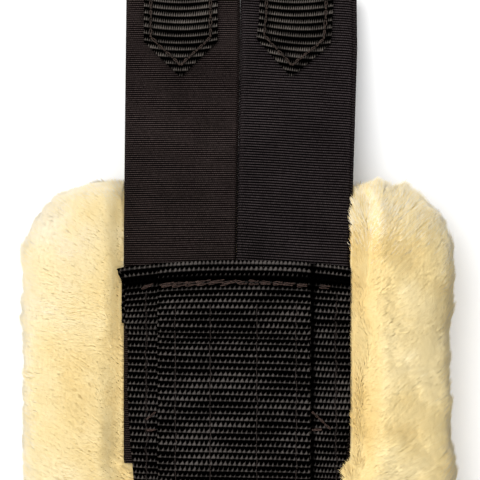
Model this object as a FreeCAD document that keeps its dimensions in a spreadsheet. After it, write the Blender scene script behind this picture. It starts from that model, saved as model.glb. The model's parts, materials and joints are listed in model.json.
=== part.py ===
"""Short dressage saddle girth: a lambskin pad, a webbing body and four elastic straps with roller buckles.

Frame: +X runs along the girth to its near-side end, +Y to the horse's front, +Z away from the horse.
The origin is on the wool's underside, at the middle of the girth. All sizes are millimetres.
"""
import FreeCAD, Part
import math
import os
import re
import Sketcher
from FreeCAD import Vector

SIZES = {
    # lambskin pad
    "pad_length": 482, "pad_width": 144, "pad_height": 39, "pad_corner": 31,
    "pad_top_round": 13, "pad_bottom_round": 10, "pile_under": 14,
    "channel_width": 78, "channel_lip": 11, "fall_before_bend": 1,
    # hide and felt inside the pad
    "core_length": 428, "core_width": 96, "core_thickness": 6, "core_corner": 12,
    "hide_thickness": 1.6, "hide_opening": 22,
    # webbing body
    "web_thickness": 1.5, "base_length": 426, "base_width": 75, "base_shift": 0.9,
    "overlay_length": 424.4, "overlay_width": 50.6, "overlay_shift": 1.5,
    "base_fold": 20, "overlay_fold": 20, "step_run": 6, "fold_run": 4,
    # elastic straps
    "ply_thickness": 1.2, "elastic_width": 37.6, "strap_offset": 19.6,
    "anchor_length": 67, "bend_inside_end": 17, "bend_run": 7,
    "free_elastic": 62, "elastic_short_of_bar": 16,
    # chapes, 25 mm webbing folded round the heel bar
    "chape_length": 45, "chape_width": 25, "chape_thickness": 1.8, "chape_gap": 0.15,
    "chape_point": 12, "chape_neck": 8, "tongue_slot_width": 7, "tongue_slot_length": 14.5,
    "loop_bore": 2.5,
    # roller buckles
    "bar_height": 6, "wire_radius": 2.2, "buckle_reach": 28, "buckle_opening": 27,
    "buckle_corner": 2.9, "roller_bore": 2.28, "roller_radius": 3.6, "roller_length": 25,
    "roller_floor_gap": 0.05,
    "tongue_radius": 1.7, "tongue_bore": 2.28, "tongue_overhang": 3, "tongue_rest_gap": 0.05,
    # sewing thread
    "thread_radius": 0.35, "stitch_length": 4.2, "stitch_pitch": 5, "chape_stitch_length": 2.6,
    "chape_stitch_pitch": 3.2, "chape_stitch_inset": 2.6, "seam_from_side": 4, "seam_from_end": 5.9,
    "base_seam_from_edge": 7, "anchor_row_pitch": 4, "anchor_first_row": 12, "clear_of_overlay": 0.5,
    # how far a cutting tool reaches past what it cuts
    "overcut": 1,
}

# Thread rows along the overlay, as shares of its width from the front edge
OVERLAY_ROWS = (0.116, 0.344, 0.649, 0.907)

# Places worked out from the sizes, as expressions on the sheet
HIDE_TOP = "(pile_under + 2 * hide_thickness + core_thickness)"
PLY_SEAM = f"({HIDE_TOP} + ply_thickness)"
BASE_ON_ELASTIC = f"({PLY_SEAM} + ply_thickness)"
MOUTH = "(base_length / 2)"
BEND = "(pad_length / 2 - bend_inside_end)"
BAR = f"({MOUTH} + free_elastic + chape_length)"
STRAP_ANGLE = f"atan(({PLY_SEAM} - bar_height) / ({BAR} - {BEND}))"
BUCKLE_ANGLE = "asin((bar_height - roller_radius - roller_floor_gap) / buckle_reach)"

ENDS = {"near": 1, "off": -1}
SIDES = {"front": 1, "rear": -1}

doc = FreeCAD.newDocument("saddle_girth")
sheet = doc.addObject("Spreadsheet::Sheet", "Sizes")
for row, (name, size) in enumerate(SIZES.items(), start=1):
    sheet.set(f"A{row}", name)
    sheet.set(f"B{row}", str(size))
    sheet.setAlias(f"B{row}", name)
doc.recompute()


def on_sheet(text):
    """Write an expression's size names the way the document reads them."""
    return re.sub(r"[a-z_]+", lambda word: f"Sizes.{word[0]}" if word[0] in SIZES else word[0], text)


def size_of(text):
    """Return the number that an expression on the sheet comes to."""
    result = sheet.evalExpression(on_sheet(text))
    return float(getattr(result, "Value", result))


def bind(obj, prop, text):
    """Tie one property of an object to the sheet."""
    obj.setExpression(prop, on_sheet(text))


def place(obj, x="0", y="0", z="0", turn="0", tilt="0"):
    """Stand an object at x, y, z, tilted nose-down about Y and then turned about Z, in degrees."""
    bind(obj, "Placement", f"placement(vector({x}; {y}; {z}); rotationz({turn}) * rotationy({tilt}))")


def new_body(label):
    body = doc.addObject("PartDesign::Body", label)
    body.Label = label
    return body


def new_sketch(body, role, name, lift="0"):
    """Add a sketch on one of the body's own origin planes, lifted along the plane's normal."""
    sketch = body.newObject("Sketcher::SketchObject", f"{body.Name}_{name}")
    plane = next(item for item in body.Origin.OriginFeatures if item.Role == role)
    sketch.AttachmentSupport = (plane, [""])
    sketch.MapMode = "FlatFace"
    bind(sketch, "AttachmentOffset.Base.z", lift)
    return sketch


def pin_point(sketch, edge, end, u, v=None):
    """Hold one point of a sketch at u, v from the sketch's origin."""
    for kind, text in (("DistanceX", u), ("DistanceY", v)):
        if text is not None:
            at = sketch.addConstraint(Sketcher.Constraint(kind, -1, 1, edge, end, size_of(text)))
            bind(sketch, f"Constraints[{at}]", text)


def draw_outline(sketch, corners, arcs=None):
    """Draw a closed outline. arcs maps a corner's number to the centre of the anticlockwise (True)
    or clockwise (False) arc that leaves it; every other edge is straight."""
    arcs = arcs or {}
    points = [Vector(size_of(u), size_of(v), 0) for u, v in corners]
    starts = []
    ends = []
    for number, point in enumerate(points):
        following = points[(number + 1) % len(points)]
        if number not in arcs:
            edge = sketch.addGeometry(Part.LineSegment(point, following), False)
            starts.append((edge, 1))
            ends.append((edge, 2))
            continue
        centre_u, centre_v, anticlockwise = arcs[number]
        centre = Vector(size_of(centre_u), size_of(centre_v), 0)
        first, last = (point, following) if anticlockwise else (following, point)
        angles = [math.atan2(p.y - centre.y, p.x - centre.x) for p in (first, last)]
        circle = Part.Circle(centre, Vector(0, 0, 1), (point - centre).Length)
        edge = sketch.addGeometry(Part.ArcOfCircle(circle, *angles), False)
        starts.append((edge, 1 if anticlockwise else 2))
        ends.append((edge, 2 if anticlockwise else 1))
    for number, (u, v) in enumerate(corners):
        sketch.addConstraint(Sketcher.Constraint("Coincident", *ends[number - 1], *starts[number]))
        pin_point(sketch, *starts[number], u, v)
    for number, (centre_u, _, _) in arcs.items():
        pin_point(sketch, starts[number][0], 3, centre_u)


def draw_rectangle(sketch, u0, u1, v0, v1):
    draw_outline(sketch, [(u0, v0), (u1, v0), (u1, v1), (u0, v1)])


def draw_rounded_rectangle(sketch, length, width, corner):
    """Draw a rectangle about the sketch's origin with its four corners rounded."""
    u = f"({length} / 2)"
    v = f"({width} / 2)"
    inner_u = f"({u} - {corner})"
    inner_v = f"({v} - {corner})"
    draw_outline(
        sketch,
        [(u, f"-{inner_v}"), (u, inner_v), (inner_u, v), (f"-{inner_u}", v),
         (f"-{u}", inner_v), (f"-{u}", f"-{inner_v}"), (f"-{inner_u}", f"-{v}"), (inner_u, f"-{v}")],
        arcs={1: (inner_u, inner_v, True), 3: (f"-{inner_u}", inner_v, True),
              5: (f"-{inner_u}", f"-{inner_v}", True), 7: (inner_u, f"-{inner_v}", True)},
    )


def draw_circle(sketch, radius):
    """Draw a circle about the sketch's origin."""
    circle = Part.Circle(Vector(0, 0, 0), Vector(0, 0, 1), size_of(radius))
    edge = sketch.addGeometry(circle, False)
    sketch.addConstraint(Sketcher.Constraint("Coincident", edge, 3, -1, 1))
    at = sketch.addConstraint(Sketcher.Constraint("Radius", edge, size_of(radius)))
    bind(sketch, f"Constraints[{at}]", radius)


def add_pad(body, sketch, length, both_sides=False):
    feature = body.newObject("PartDesign::Pad", f"{sketch.Name}_pad")
    feature.Profile = sketch
    feature.SideType = "Symmetric" if both_sides else "One side"
    bind(feature, "Length", length)
    doc.recompute()
    return feature


def add_pocket(body, sketch, length, both_sides=False, upwards=False):
    """Cut with a sketch. A pocket goes against the sketch's normal unless it goes upwards."""
    before = body.Shape.Volume
    feature = body.newObject("PartDesign::Pocket", f"{sketch.Name}_pocket")
    feature.Profile = sketch
    feature.SideType = "Symmetric" if both_sides else "One side"
    feature.Reversed = upwards
    bind(feature, "Length", length)
    doc.recompute()
    if not body.Shape.Volume < before:
        raise RuntimeError(f"{feature.Name} cut nothing")
    return feature


def add_fillet(body, base, chosen, radius):
    """Round the edges of the base feature for which chosen(edge) is true."""
    names = [f"Edge{n}" for n, edge in enumerate(base.Shape.Edges, start=1) if chosen(edge)]
    feature = body.newObject("PartDesign::Fillet", f"{base.Name}_round")
    feature.Base = (base, names)
    bind(feature, "Radius", radius)
    doc.recompute()
    return feature


def is_upright(edge):
    return edge.BoundBox.ZLength > 1 and edge.BoundBox.XLength + edge.BoundBox.YLength < 0.01


def is_level_at(height):
    return lambda edge: abs(edge.BoundBox.ZMin - height) < 0.01 and abs(edge.BoundBox.ZMax - height) < 0.01


def rounded_block(label, length, width, corner, floor, height):
    """A level block with round plan corners, its underside at the height called floor."""
    body = new_body(label)
    plan = new_sketch(body, "XY_Plane", "plan", floor)
    draw_rectangle(plan, f"-{length} / 2", f"{length} / 2", f"-{width} / 2", f"{width} / 2")
    block = add_pad(body, plan, height)
    return body, add_fillet(body, block, is_upright, corner)


# ---------------------------------------------------------------- lambskin pad

HIDE_LENGTH = "(core_length + 2 * hide_thickness)"
HIDE_WIDTH = "(core_width + 2 * hide_thickness)"
HIDE_HEIGHT = "(core_thickness + 2 * hide_thickness)"
HIDE_CORNER = "(core_corner + hide_thickness)"


def make_wool_pile():
    """The pile all round the hide, with a channel for the webbing that falls away under the straps."""
    body, block = rounded_block("wool_pile", "pad_length", "pad_width", "pad_corner", "0", "pad_height")
    top = add_fillet(body, block, is_level_at(size_of("pad_height")), "pad_top_round")
    add_fillet(body, top, is_level_at(0), "pad_bottom_round")

    section = new_sketch(body, "YZ_Plane", "channel")
    half = "channel_width / 2"
    lip_start = "(pad_height - channel_lip)"
    draw_outline(
        section,
        [(f"-{half}", HIDE_TOP), (half, HIDE_TOP), (half, lip_start),
         (f"{half} + channel_lip", "pad_height"), (f"{half} + channel_lip", "pad_height + overcut"),
         (f"-{half} - channel_lip", "pad_height + overcut"), (f"-{half} - channel_lip", "pad_height"),
         (f"-{half}", lip_start)],
        arcs={2: (f"{half} + channel_lip", lip_start, False),
              6: (f"-{half} - channel_lip", lip_start, False)},
    )
    add_pocket(body, section, "pad_length + 2 * overcut", both_sides=True)

    fall_start = f"({BEND} - bend_run - fall_before_bend)"
    fall_end = "(pad_length / 2 + overcut)"
    for name, sign in (("near_fall", ""), ("off_fall", "-")):
        wedge = new_sketch(body, "XZ_Plane", name)
        low = f"{HIDE_TOP} - ({fall_end} - {fall_start}) * tan({STRAP_ANGLE})"
        draw_outline(wedge, [(sign + fall_start, HIDE_TOP), (sign + fall_end, low),
                             (sign + fall_end, f"{HIDE_TOP} + overcut"),
                             (sign + fall_start, f"{HIDE_TOP} + overcut")])
        add_pocket(body, wedge, "channel_width", both_sides=True)

    hollow = new_sketch(body, "XY_Plane", "hollow", "pile_under")
    draw_rounded_rectangle(hollow, HIDE_LENGTH, HIDE_WIDTH, HIDE_CORNER)
    add_pocket(body, hollow, HIDE_HEIGHT, upwards=True)


def make_hide_and_core():
    """The skin wraps the felt and its two edges meet short of each other under the webbing."""
    hide, _ = rounded_block("sheepskin_hide", HIDE_LENGTH, HIDE_WIDTH, HIDE_CORNER, "pile_under", HIDE_HEIGHT)
    inside = new_sketch(hide, "XY_Plane", "inside", "pile_under + hide_thickness")
    draw_rounded_rectangle(inside, "core_length", "core_width", "core_corner")
    add_pocket(hide, inside, "core_thickness", upwards=True)
    opening = new_sketch(hide, "XY_Plane", "opening", "pile_under + hide_thickness + core_thickness")
    draw_rectangle(opening, "-(core_length / 2 - core_corner)", "core_length / 2 - core_corner",
                   "-hide_opening / 2", "hide_opening / 2")
    add_pocket(hide, opening, "hide_thickness + overcut", upwards=True)
    rounded_block("felt_core", "core_length", "core_width", "core_corner",
                  "pile_under + hide_thickness", "core_thickness")


# ---------------------------------------------------------------- webbing body

ANCHOR_END = f"({MOUTH} - anchor_length)"


def webbing(label, upper_run, end_x, fold, bottom, width, shift):
    """A flat webbing along X with doubled, round-nosed ends. upper_run lists the corners of its underside
    from the middle out to where the fold starts; bottom is the underside's height at the fold."""
    nose = f"({end_x} - web_thickness)"
    under = upper_run + [(nose, bottom)]
    over = [(f"({end_x} - {fold})", f"{bottom} + 2 * web_thickness"), (nose, f"{bottom} + 2 * web_thickness")]
    over = [(x, f"{z} + web_thickness") for x, z in upper_run] + over
    right = under + over[::-1]
    left = [(f"-{x}", z) for x, z in right]
    body = new_body(label)
    profile = new_sketch(body, "XZ_Plane", "profile")
    corners = right + left[::-1]
    nose_mid = f"{bottom} + web_thickness"
    draw_outline(profile, corners, arcs={
        len(under) - 1: (nose, nose_mid, True),
        len(right) + len(over) - 1: (f"-{nose}", nose_mid, True),
    })
    add_pad(body, profile, width, both_sides=True)
    place(body, y=shift)


def make_webbing_body():
    fold_start = f"({MOUTH} - base_fold)"
    webbing(
        "base_webbing",
        [(f"({ANCHOR_END} - step_run)", HIDE_TOP), (ANCHOR_END, BASE_ON_ELASTIC),
         (f"({fold_start} - fold_run)", BASE_ON_ELASTIC)],
        MOUTH, "base_fold", BASE_ON_ELASTIC, "base_width", "base_shift",
    )
    base_top = f"{BASE_ON_ELASTIC} + web_thickness"
    overlay_end = "(overlay_length / 2)"
    overlay_fold_start = f"({overlay_end} - overlay_fold)"
    webbing(
        "overlay_webbing",
        [(f"({ANCHOR_END} - step_run)", f"{HIDE_TOP} + web_thickness"), (ANCHOR_END, base_top),
         (f"({overlay_fold_start} - step_run)", base_top),
         (overlay_fold_start, f"{base_top} + web_thickness")],
        overlay_end, "overlay_fold", f"{base_top} + web_thickness", "overlay_width", "overlay_shift",
    )


# ---------------------------------------------------------------- straps

def elastic_ply(label, end, side, low, high):
    """One ply of a strap: level from its anchored end to the bend, then straight down to the chape.
    low and high are the ply's faces, measured out from the seam between the two plies."""
    body = new_body(label)
    profile = new_sketch(body, "XZ_Plane", "profile")
    run = f"(({BAR} - {BEND}) - elastic_short_of_bar * cos({STRAP_ANGLE}))"
    spots = [
        (ANCHOR_END, PLY_SEAM, "0"),
        (f"({BEND} - bend_run)", PLY_SEAM, "0"),
        (f"({BEND} + bend_run)", f"({PLY_SEAM} - bend_run * tan({STRAP_ANGLE}))", STRAP_ANGLE),
        (f"({BEND} + {run})", f"({PLY_SEAM} - {run} * tan({STRAP_ANGLE}))", STRAP_ANGLE),
    ]
    faces = [[(f"{x} + {face} * sin({lean})", f"{z} + {face} * cos({lean})") for x, z, lean in spots]
             for face in (low, high)]
    draw_outline(profile, faces[0] + faces[1][::-1])
    add_pad(body, profile, "elastic_width", both_sides=True)
    place(body, y=f"{side} * strap_offset", turn="0" if end > 0 else "180")


def make_chape(label, end, side):
    """25 mm webbing folded round the heel bar, both pointed tails lying against the elastic."""
    body = new_body(label)
    profile = new_sketch(body, "XZ_Plane", "profile")
    inside = "(ply_thickness + chape_gap)"
    outside = f"({inside} + chape_thickness)"
    loop_outside = "(loop_bore + chape_thickness)"
    upper = [("0", loop_outside), ("-chape_neck", outside), ("-chape_length", outside),
             ("-chape_length", inside), ("-chape_neck", inside), ("0", "loop_bore")]
    lower = [(x, f"-{z}") for x, z in upper[::-1]]
    draw_outline(profile, upper + lower, arcs={5: ("0", "0", False), 11: ("0", "0", True)})
    add_pad(body, profile, "chape_width", both_sides=True)

    through = f"2 * ({loop_outside} + overcut)"
    slot = new_sketch(body, "XY_Plane", "tongue_slot")
    draw_rectangle(slot, "-tongue_slot_length", f"{loop_outside} + overcut",
                   "-tongue_slot_width / 2", "tongue_slot_width / 2")
    add_pocket(body, slot, through, both_sides=True)
    for name, sign in (("front_cut", ""), ("rear_cut", "-")):
        corner = new_sketch(body, "XY_Plane", name)
        shoulder = "-chape_length + chape_point"
        beyond = f"{sign}(chape_width / 2 + overcut)"
        draw_outline(corner, [("-chape_length", "0"), (shoulder, f"{sign}chape_width / 2"),
                              (shoulder, beyond), ("-chape_length - overcut", beyond),
                              ("-chape_length - overcut", "0")])
        add_pocket(body, corner, through, both_sides=True)
    place_at_bar(body, end, side, STRAP_ANGLE)


def place_at_bar(obj, end, side, tilt):
    place(obj, f"{end} * {BAR}", f"{side} * strap_offset", "bar_height", "0" if end > 0 else "180", tilt)


def make_frame(label, end, side):
    """A closed ring of round wire: heel bar, two sides and the front bar that the roller turns on."""
    body = new_body(label)
    path = new_sketch(body, "XY_Plane", "path")
    half = "(buckle_opening / 2 + wire_radius)"
    near_y = f"({half} - buckle_corner)"
    far_x = "(buckle_reach - buckle_corner)"
    draw_outline(
        path,
        [("0", "0"), ("0", f"-{near_y}"), ("buckle_corner", f"-{half}"), (far_x, f"-{half}"),
         ("buckle_reach", f"-{near_y}"), ("buckle_reach", near_y), (far_x, half),
         ("buckle_corner", half), ("0", near_y)],
        arcs={1: ("buckle_corner", f"-{near_y}", True), 3: (far_x, f"-{near_y}", True),
              5: (far_x, near_y, True), 7: ("buckle_corner", near_y, True)},
    )
    wire = new_sketch(body, "XZ_Plane", "wire")
    draw_circle(wire, "wire_radius")
    sweep = body.newObject("PartDesign::AdditivePipe", f"{body.Name}_sweep")
    sweep.Profile = wire
    sweep.Spine = path
    doc.recompute()
    place_at_bar(body, end, side, BUCKLE_ANGLE)


def make_roller(label, end, side):
    """A plain tube that turns on the front bar."""
    body = new_body(label)
    outside = new_sketch(body, "XZ_Plane", "outside")
    draw_circle(outside, "roller_radius")
    add_pad(body, outside, "roller_length", both_sides=True)
    bore = new_sketch(body, "XZ_Plane", "bore")
    draw_circle(bore, "roller_bore")
    add_pocket(body, bore, "roller_length + 2 * overcut", both_sides=True)
    place(body, f"{end} * ({BAR} + buckle_reach * cos({BUCKLE_ANGLE}))", f"{side} * strap_offset",
          f"bar_height - buckle_reach * sin({BUCKLE_ANGLE})", "0" if end > 0 else "180", BUCKLE_ANGLE)


def make_tongue(label, end, side):
    """A wire eye round the heel bar and a straight prong that rests on the roller."""
    eye_radius = "(tongue_bore + tongue_radius)"
    rest_height = "(roller_radius + tongue_radius + tongue_rest_gap)"
    slope = f"atan(({rest_height} - {eye_radius}) / buckle_reach)"
    eye = doc.addObject("Part::Torus", f"{label}_eye")
    bind(eye, "Radius1", eye_radius)
    bind(eye, "Radius2", "tongue_radius")
    bind(eye, "Placement", "placement(vector(0; 0; 0); rotationx(90))")
    prong = doc.addObject("Part::Cylinder", f"{label}_prong")
    bind(prong, "Radius", "tongue_radius")
    reach = "(buckle_reach + tongue_overhang)"
    bind(prong, "Height", f"{reach} / cos({slope})")
    bind(prong, "Placement", f"placement(vector(0; 0; {eye_radius}); rotationy(90 deg - {slope}))")
    tip = doc.addObject("Part::Sphere", f"{label}_tip")
    bind(tip, "Radius", "tongue_radius")
    place(tip, x=reach, z=f"{eye_radius} + {reach} * tan({slope})")
    solid = doc.addObject("Part::MultiFuse", label)
    solid.Label = label
    solid.Shapes = [eye, prong, tip]
    place_at_bar(solid, end, side, BUCKLE_ANGLE)


# ---------------------------------------------------------------- sewing thread

def stitch(start, finish):
    """One stitch: a short rod of thread from start to finish."""
    along = finish - start
    return Part.makeCylinder(size_of("thread_radius"), along.Length, start, along)


def add_thread(label, stitches):
    """A seam is a group of separate stitches in one sub-part."""
    seam = doc.addObject("Part::Feature", label)
    seam.Label = label
    seam.Shape = Part.makeCompound(stitches)
    return seam


def make_chape_seam(label, end, strap_side):
    """Stitches along both tails' edges, parallel to the point, on the chape's outer face."""
    inset = size_of("chape_stitch_inset")
    half = size_of("chape_width / 2") - inset
    tip = -size_of("chape_length") + inset * math.sqrt(2)
    shoulder = tip + half * size_of("chape_point / (chape_width / 2)")
    stop = -size_of("tongue_slot_length") - inset
    height = size_of("ply_thickness + chape_gap + chape_thickness + thread_radius")
    pitch = size_of("chape_stitch_pitch")
    length = size_of("chape_stitch_length")
    stitches = []
    for sign in (1, -1):
        side = sign * half
        corners = [Vector(tip, 0, height), Vector(shoulder, side, height), Vector(stop, side, height)]
        for first, last in zip(corners, corners[1:]):
            along = (last - first).normalize()
            for number in range(int((last - first).Length / pitch)):
                start = first + along * (number * pitch + (pitch - length) / 2)
                stitches.append(stitch(start, start + along * length))
    place_at_bar(add_thread(label, stitches), end, strap_side, STRAP_ANGLE)


def make_cross_seam(label, end):
    """One long-stitched row across the mouth, over the base webbing and the overlay."""
    base_top = size_of(f"{BASE_ON_ELASTIC} + 2 * web_thickness + thread_radius")
    overlay_top = base_top + size_of("2 * web_thickness")
    row_x = size_of("overlay_length / 2 - seam_from_end")
    length = size_of("stitch_length")
    overlay_edges = [size_of(f"overlay_shift {sign} overlay_width / 2") for sign in "-+"]
    clear = size_of("clear_of_overlay")
    reach = size_of("base_width / 2 - seam_from_side")
    pitch = size_of("stitch_pitch")
    stitches = []
    for number in range(int(2 * reach / pitch)):
        y = size_of("base_shift") - reach + number * pitch
        on_overlay = overlay_edges[0] < y and y + length < overlay_edges[1]
        beside = y + length < overlay_edges[0] - clear or y > overlay_edges[1] + clear
        if on_overlay or beside:
            z = overlay_top if on_overlay else base_top
            stitches.append(stitch(Vector(end * row_x, y, z), Vector(end * row_x, y + length, z)))
    add_thread(label, stitches)


def make_anchor_seam(label, end):
    """Where the box seam that holds the elastics comes out on either side of the overlay."""
    z = size_of(f"{BASE_ON_ELASTIC} + web_thickness + thread_radius")
    row_x = size_of(f"{ANCHOR_END} + anchor_first_row")
    stitches = []
    for sign in (-1, 1):
        overlay_edge = size_of("overlay_shift") + sign * size_of("overlay_width / 2 + 2 * thread_radius")
        base_edge = size_of("base_shift") + sign * size_of("base_width / 2 - seam_from_side")
        for row in range(3):
            x = end * (row_x + row * size_of("anchor_row_pitch"))
            stitches.append(stitch(Vector(x, overlay_edge, z), Vector(x, base_edge, z)))
    add_thread(label, stitches)


def make_long_seam(label, edge_y, levels):
    """Straight rows along the girth. levels lists, from the middle out, where each level stretch of the
    webbing starts and stops, and its height."""
    stitches = []
    for y in edge_y:
        for start, stop, height in levels:
            z = size_of(f"{height} + thread_radius")
            for sign in (1, -1):
                ends = [Vector(sign * size_of(x), y, z) for x in (start, stop)]
                stitches.append(stitch(*ends))
    add_thread(label, stitches)


def make_seams():
    for end_name, end in ENDS.items():
        make_cross_seam(f"{end_name}_cross_seam", end)
        make_anchor_seam(f"{end_name}_anchor_seam", end)
    margin = "2 * thread_radius"
    overlay_start = size_of("overlay_shift + overlay_width / 2")
    rows = [overlay_start - share * size_of("overlay_width") for share in OVERLAY_ROWS]
    fold_start = "(overlay_length / 2 - overlay_fold)"
    make_long_seam("overlay_long_seams", rows, [
        ("0", f"{ANCHOR_END} - step_run - {margin}", f"{HIDE_TOP} + 2 * web_thickness"),
        (f"{ANCHOR_END} + {margin}", f"{fold_start} - step_run - {margin}",
         f"{BASE_ON_ELASTIC} + 2 * web_thickness"),
        (f"{fold_start} + {margin}", "overlay_length / 2 - 2 * seam_from_end",
         f"{BASE_ON_ELASTIC} + 4 * web_thickness"),
    ])
    edges = [size_of(f"base_shift {sign} (base_width / 2 - base_seam_from_edge)") for sign in "-+"]
    make_long_seam("base_long_seams", edges, [
        ("0", f"{ANCHOR_END} - step_run - {margin}", f"{HIDE_TOP} + web_thickness"),
        (f"{ANCHOR_END} + {margin}", f"{ANCHOR_END} + anchor_first_row - anchor_row_pitch",
         f"{BASE_ON_ELASTIC} + web_thickness"),
    ])


# ---------------------------------------------------------------- build, check and write

make_wool_pile()
make_hide_and_core()
make_webbing_body()
for end_name, end in ENDS.items():
    for side_name, side in SIDES.items():
        strap = f"{end_name}_{side_name}"
        elastic_ply(f"{strap}_elastic_face", end, side, "0", "ply_thickness")
        elastic_ply(f"{strap}_elastic_backing", end, side, "-ply_thickness", "0")
        make_chape(f"{strap}_chape", end, side)
        make_chape_seam(f"{strap}_chape_seam", end, side)
        make_frame(f"{strap}_buckle_frame", end, side)
        make_roller(f"{strap}_roller", end, side)
        make_tongue(f"{strap}_tongue", end, side)
make_seams()
doc.recompute()

subparts = [obj for obj in doc.Objects
            if obj.TypeId in ("PartDesign::Body", "Part::MultiFuse", "Part::Feature")]
for obj in doc.Objects:
    if {"Invalid", "Error"} & set(obj.State):
        raise RuntimeError(f"{obj.Label} failed: {obj.State}")
for obj in subparts:
    if obj.Shape.isNull() or not obj.Shape.isValid():
        raise RuntimeError(f"{obj.Label} has no valid shape")

os.makedirs("parts", exist_ok=True)
for obj in subparts:
    obj.Shape.exportStep(f"parts/{obj.Label}.step")
    box = obj.Shape.BoundBox
    print(f"{obj.Label}: {len(obj.Shape.Solids)} solids, {obj.Shape.Volume:.0f} mm3, "
          f"x {box.XMin:.1f}..{box.XMax:.1f} y {box.YMin:.1f}..{box.YMax:.1f} "
          f"z {box.ZMin:.2f}..{box.ZMax:.2f}")
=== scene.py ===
"""Looks of the saddle girth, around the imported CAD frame."""
import json
import math

import bpy
import numpy as np
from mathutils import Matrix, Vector
from mathutils.kdtree import KDTree


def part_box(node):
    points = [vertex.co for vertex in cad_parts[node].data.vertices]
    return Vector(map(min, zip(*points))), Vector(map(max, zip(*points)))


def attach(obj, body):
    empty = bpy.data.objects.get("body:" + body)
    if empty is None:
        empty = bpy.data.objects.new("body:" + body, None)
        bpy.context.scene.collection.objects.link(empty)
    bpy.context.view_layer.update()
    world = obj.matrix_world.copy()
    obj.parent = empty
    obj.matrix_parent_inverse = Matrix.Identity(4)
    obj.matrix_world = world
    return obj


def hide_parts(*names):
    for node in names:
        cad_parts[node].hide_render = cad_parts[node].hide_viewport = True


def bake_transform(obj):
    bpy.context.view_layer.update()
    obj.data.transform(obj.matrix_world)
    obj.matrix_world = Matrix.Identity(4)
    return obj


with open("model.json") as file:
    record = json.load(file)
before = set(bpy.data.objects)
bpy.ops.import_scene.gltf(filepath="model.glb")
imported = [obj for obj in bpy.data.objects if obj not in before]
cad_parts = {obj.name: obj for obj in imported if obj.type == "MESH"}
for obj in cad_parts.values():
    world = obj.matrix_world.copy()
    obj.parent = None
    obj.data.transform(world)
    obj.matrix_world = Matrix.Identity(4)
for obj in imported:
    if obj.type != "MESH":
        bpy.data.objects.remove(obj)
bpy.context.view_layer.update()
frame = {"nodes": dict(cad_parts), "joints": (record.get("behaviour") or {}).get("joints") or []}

MM = 0.001

ENDS = {"near": 1, "off": -1}
STRAPS = [(f"{end}_{side}", sx, sy) for end, sx in ENDS.items() for side, sy in (("front", 1), ("rear", -1))]


# ---- places, read from the frame

def low(node):
    return np.array(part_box(node)[0])


def high(node):
    return np.array(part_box(node)[1])


BAR = {joint["name"]: joint for joint in frame["joints"]}["near_front_buckle_swing"]["pos_m"]
MOUTH_X = high("base_webbing")[0]
OVERLAY_X = high("overlay_webbing")[0]
OVERLAY_REAR, OVERLAY_FRONT = low("overlay_webbing")[1], high("overlay_webbing")[1]
PAD_X, PAD_Y, PAD_TOP = high("wool_pile")
HIDE_TOP = high("sheepskin_hide")[2]
ANCHOR_X = low("near_front_elastic_face")[0]
PLY = high("near_front_elastic_face")[2] - high("near_front_elastic_backing")[2]
PLY_SEAM = high("near_front_elastic_backing")[2]
WEB = low("overlay_webbing")[2] - HIDE_TOP
ELASTIC_WIDTH = high("near_front_elastic_face")[1] - low("near_front_elastic_face")[1]
CHAPE_WIDTH = high("near_front_chape")[1] - low("near_front_chape")[1]
CHAPE_TIP_X = low("near_front_chape")[0]

# The webbing folded under at each end, and the run over which it steps up onto the elastics.
FOLD = 20 * MM
STEP = 6 * MM
# Where the straps bend down to the buckles, and how far before it the pad does.
BEND_X = PAD_X - 17 * MM
BEND_RUN = 7 * MM
STRAP_SLOPE = math.atan2(PLY_SEAM - BAR[2], BAR[0] - BEND_X)
CHAPE_LENGTH = (BAR[0] - CHAPE_TIP_X) / math.cos(STRAP_SLOPE)


# ---- numbers and meshes

def lattice_noise(points, cell, seed):
    """Smooth noise from -1 to 1 at each point, whose lumps are about cell across."""
    table = np.random.default_rng(seed).uniform(-1, 1, 8192)
    scaled = np.asarray(points, float) / cell
    corner = np.floor(scaled).astype(np.int64)
    part = scaled - corner
    part = part * part * (3 - 2 * part)
    total = np.zeros(scaled.shape[:-1])
    for number in range(8):
        step = np.array([number & 1, number >> 1 & 1, number >> 2 & 1])
        spot = corner + step
        key = (spot[..., 0] * 73856093) ^ (spot[..., 1] * 19349663) ^ (spot[..., 2] * 83492791)
        weight = np.prod(np.where(step, part, 1 - part), axis=-1)
        total += weight * table[key % len(table)]
    return total


def along_only(x):
    """Points for a noise that changes along the girth only."""
    return np.stack([x, 0 * x, 0 * x], axis=-1)


def smooth_step(value, start, end):
    """From 0 at start to 1 at end."""
    t = np.clip((value - start) / (end - start), 0, 1)
    return t * t * (3 - 2 * t)


def fade(value, start, end):
    """From 1 at start to 0 at end."""
    return 1 - smooth_step(value, start, end)


def bell(offset, width, power=2):
    """1 where offset is 0, falling away on both sides over about width."""
    return np.exp(-(offset / width) ** power)


def unit(vectors):
    return vectors / np.maximum(np.linalg.norm(vectors, axis=-1, keepdims=True), 1e-12)


def mesh_object(name, points, faces, materials, face_material=None):
    """A mesh object whose faces all have the same number of corners."""
    mesh = bpy.data.meshes.new(name)
    faces = np.asarray(faces, np.int32)
    corners = faces.shape[1]
    mesh.vertices.add(len(points))
    mesh.vertices.foreach_set("co", np.asarray(points, np.float32).ravel())
    mesh.loops.add(faces.size)
    mesh.loops.foreach_set("vertex_index", faces.ravel())
    mesh.polygons.add(len(faces))
    mesh.polygons.foreach_set("loop_start", np.arange(0, faces.size, corners, dtype=np.int32))
    for material in materials:
        mesh.materials.append(material)
    if face_material is not None:
        mesh.polygons.foreach_set("material_index", np.asarray(face_material, np.int32))
    mesh.polygons.foreach_set("use_smooth", np.full(len(faces), True))
    mesh.update(calc_edges=True)
    obj = bpy.data.objects.new(name, mesh)
    bpy.context.scene.collection.objects.link(obj)
    return obj


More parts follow.
